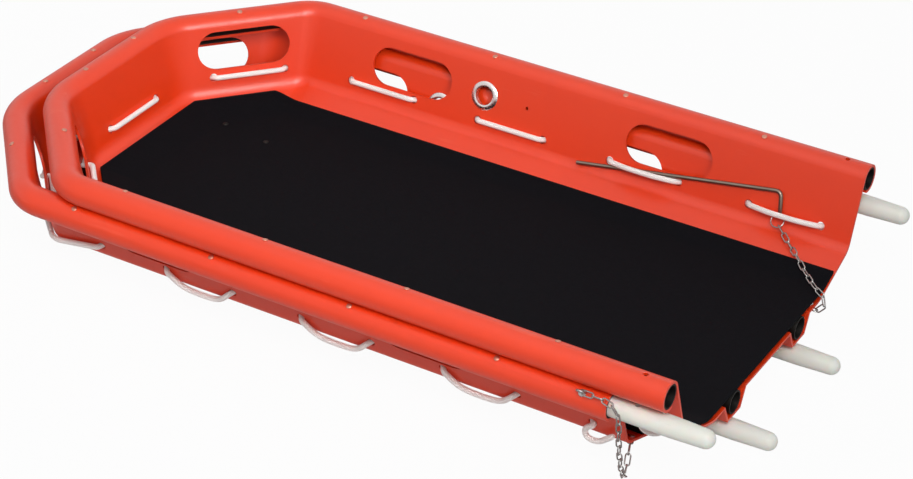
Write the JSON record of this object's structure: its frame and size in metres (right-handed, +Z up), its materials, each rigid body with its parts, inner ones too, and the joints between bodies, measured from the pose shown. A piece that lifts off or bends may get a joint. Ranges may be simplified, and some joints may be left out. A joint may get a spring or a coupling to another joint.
{
  "type": "basket stretcher",
  "caption": "Break-apart rescue basket stretcher stowed with one moulded half nested in the other, with lashing rope, floor mats, joint spigots and chained locking pins.",
  "frame": {"origin": "on the ground under the middle of the nested set's length, on the centre line", "axes": "+X from the closed ends to the joint ends, +Y to the side with the stowed locking rod, +Z up"},
  "size_m": [1.245, 0.6647, 0.2193],
  "materials": {
    "orange_polyethylene": "satin moulded polyethylene",
    "black_mat": "matt closed-cell mat",
    "steel_tube": "dull galvanised tube",
    "white_cord": "laid cord",
    "white_nylon": "milky nylon",
    "dark_steel": "brownish plated rod",
    "bright_steel": "bright plated steel"
  },
  "bodies": {
    "lower_half": {"lower_shell": "orange_polyethylene", "lower_mat": "black_mat", "lower_gunwale_tube": "steel_tube", "lower_lashing_rope": "white_cord", "lower_runner_tube_near": "steel_tube", "lower_runner_tube_far": "steel_tube", "lower_grommet_near": "bright_steel", "lower_grommet_far": "bright_steel", "lower_rivet_near_1": "bright_steel", "lower_rivet_near_2": "bright_steel", "lower_rivet_near_3": "bright_steel", "lower_rivet_near_4": "bright_steel", "lower_rivet_near_chamfer": "bright_steel", "lower_rivet_near_end": "bright_steel", "lower_rivet_far_1": "bright_steel", "lower_rivet_far_2": "bright_steel", "lower_rivet_far_3": "bright_steel", "lower_rivet_far_4": "bright_steel", "lower_rivet_far_chamfer": "bright_steel", "lower_rivet_far_end": "bright_steel", "gunwale_spigot_near": "white_nylon", "gunwale_spigot_far": "white_nylon", "runner_spigot_near": "white_nylon", "runner_spigot_far": "white_nylon", "runner_spigot_pin_near": "bright_steel", "runner_spigot_pin_far": "bright_steel", "lower_chain_anchor": "bright_steel", "lock_pin_chain": "bright_steel"},
    "upper_half": {"upper_shell": "orange_polyethylene", "upper_mat": "black_mat", "upper_gunwale_tube": "steel_tube", "upper_lashing_rope": "white_cord", "upper_runner_tube_near": "steel_tube", "upper_runner_tube_far": "steel_tube", "upper_grommet_near": "bright_steel", "upper_grommet_far": "bright_steel", "upper_rivet_near_1": "bright_steel", "upper_rivet_near_2": "bright_steel", "upper_rivet_near_3": "bright_steel", "upper_rivet_near_4": "bright_steel", "upper_rivet_near_chamfer": "bright_steel", "upper_rivet_near_end": "bright_steel", "upper_rivet_far_1": "bright_steel", "upper_rivet_far_2": "bright_steel", "upper_rivet_far_3": "bright_steel", "upper_rivet_far_4": "bright_steel", "upper_rivet_far_chamfer": "bright_steel", "upper_rivet_far_end": "bright_steel", "upper_chain_anchor": "bright_steel", "locking_rod_chain": "bright_steel"},
    "locking_rod": {"locking_rod": "dark_steel"},
    "rod_ring": {"locking_rod_ring": "bright_steel"},
    "gunwale_lock_pin": {"gunwale_lock_pin": "bright_steel"}
  },
  "joints": [
    {"name": "upper_half_lift", "type": "slide", "parent": "lower_half", "child": "upper_half", "axis": [0, 0, 1], "range_m": [0, 0.25]},
    {"name": "locking_rod_slide", "type": "slide", "parent": "upper_half", "child": "locking_rod", "axis": [0.9901, 0.0527, 0.13], "range_m": [0, 0.02], "deforming": ["locking_rod_chain"]},
    {"name": "rod_ring_swing", "type": "hinge", "parent": "locking_rod", "child": "rod_ring", "pos_m": [0.44999, 0.25791, 0.12766], "axis": [-1, 0, 0], "range_deg": [-25, 25], "deforming": ["locking_rod_chain"]},
    {"name": "gunwale_lock_pin_slide", "type": "slide", "parent": "lower_half", "child": "gunwale_lock_pin", "axis": [0, -0.7071, 0.7071], "range_m": [0, 0.06], "deforming": ["lock_pin_chain"]}
  ]
}
